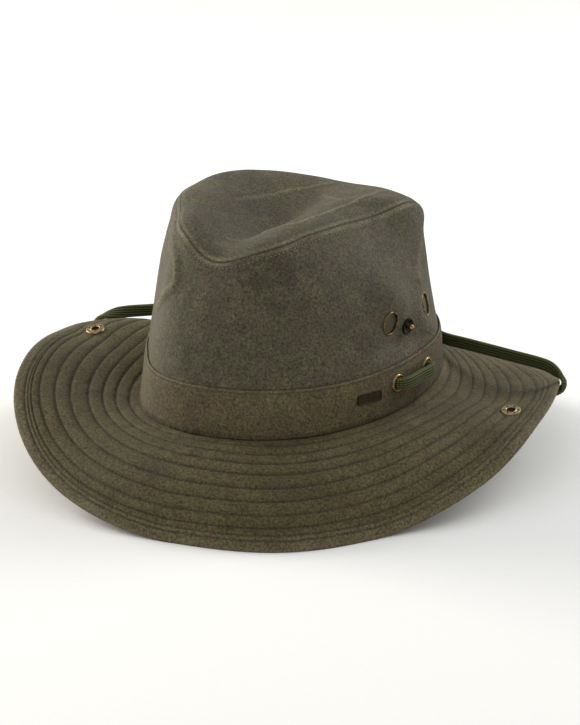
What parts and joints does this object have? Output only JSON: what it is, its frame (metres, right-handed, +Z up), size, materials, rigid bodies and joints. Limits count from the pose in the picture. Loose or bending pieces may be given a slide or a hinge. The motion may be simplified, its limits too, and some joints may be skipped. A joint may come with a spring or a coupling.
{
  "type": "wide-brim oilskin hat",
  "caption": "Soft wide-brim hat of waxed cloth with a pinched, dented crown, a plain band with a flat chin cord through grommets, vent eyelets, snaps and a curved brim stitched in rings.",
  "frame": {"origin": "middle of the brim's outline in plan, on the surface the hat stands on", "axes": "+Z up; the front of the hat faces -Y; the wearer's left is +X"},
  "size_m": [0.3168, 0.3096, 0.156],
  "materials": {
    "crown_cloth": "waxed cotton, satin, scuffed olive brown",
    "band_cloth": "waxed cotton, satin, browner olive",
    "brim_cloth": "waxed cotton, satin, stitched in rings",
    "antique_brass": "antique brass, satin",
    "dark_metal": "dark bronzed metal, satin",
    "metal_gauze": "fine painted gauze",
    "cord_braid": "dark green flat braid, matt"
  },
  "bodies": {
    "root": {"crown_side": "crown_cloth", "crown_tip": "crown_cloth", "hat_band": "band_cloth", "brim": "brim_cloth", "band_plate": "dark_metal", "eyelet_left_front": "antique_brass", "eyelet_screen_left_front": "metal_gauze", "cord_grommet_left_front": "antique_brass", "eyelet_left_rear": "antique_brass", "eyelet_screen_left_rear": "metal_gauze", "cord_grommet_left_rear": "antique_brass", "snap_stud_left": "dark_metal", "snap_socket_left": "antique_brass", "eyelet_right_front": "antique_brass", "eyelet_screen_right_front": "metal_gauze", "cord_grommet_right_front": "antique_brass", "eyelet_right_rear": "antique_brass", "eyelet_screen_right_rear": "metal_gauze", "cord_grommet_right_rear": "antique_brass", "snap_stud_right": "dark_metal", "snap_socket_right": "antique_brass", "chin_cord": "cord_braid", "cord_knot_left": "cord_braid", "cord_knot_right": "cord_braid"}
  },
  "joints": []
}
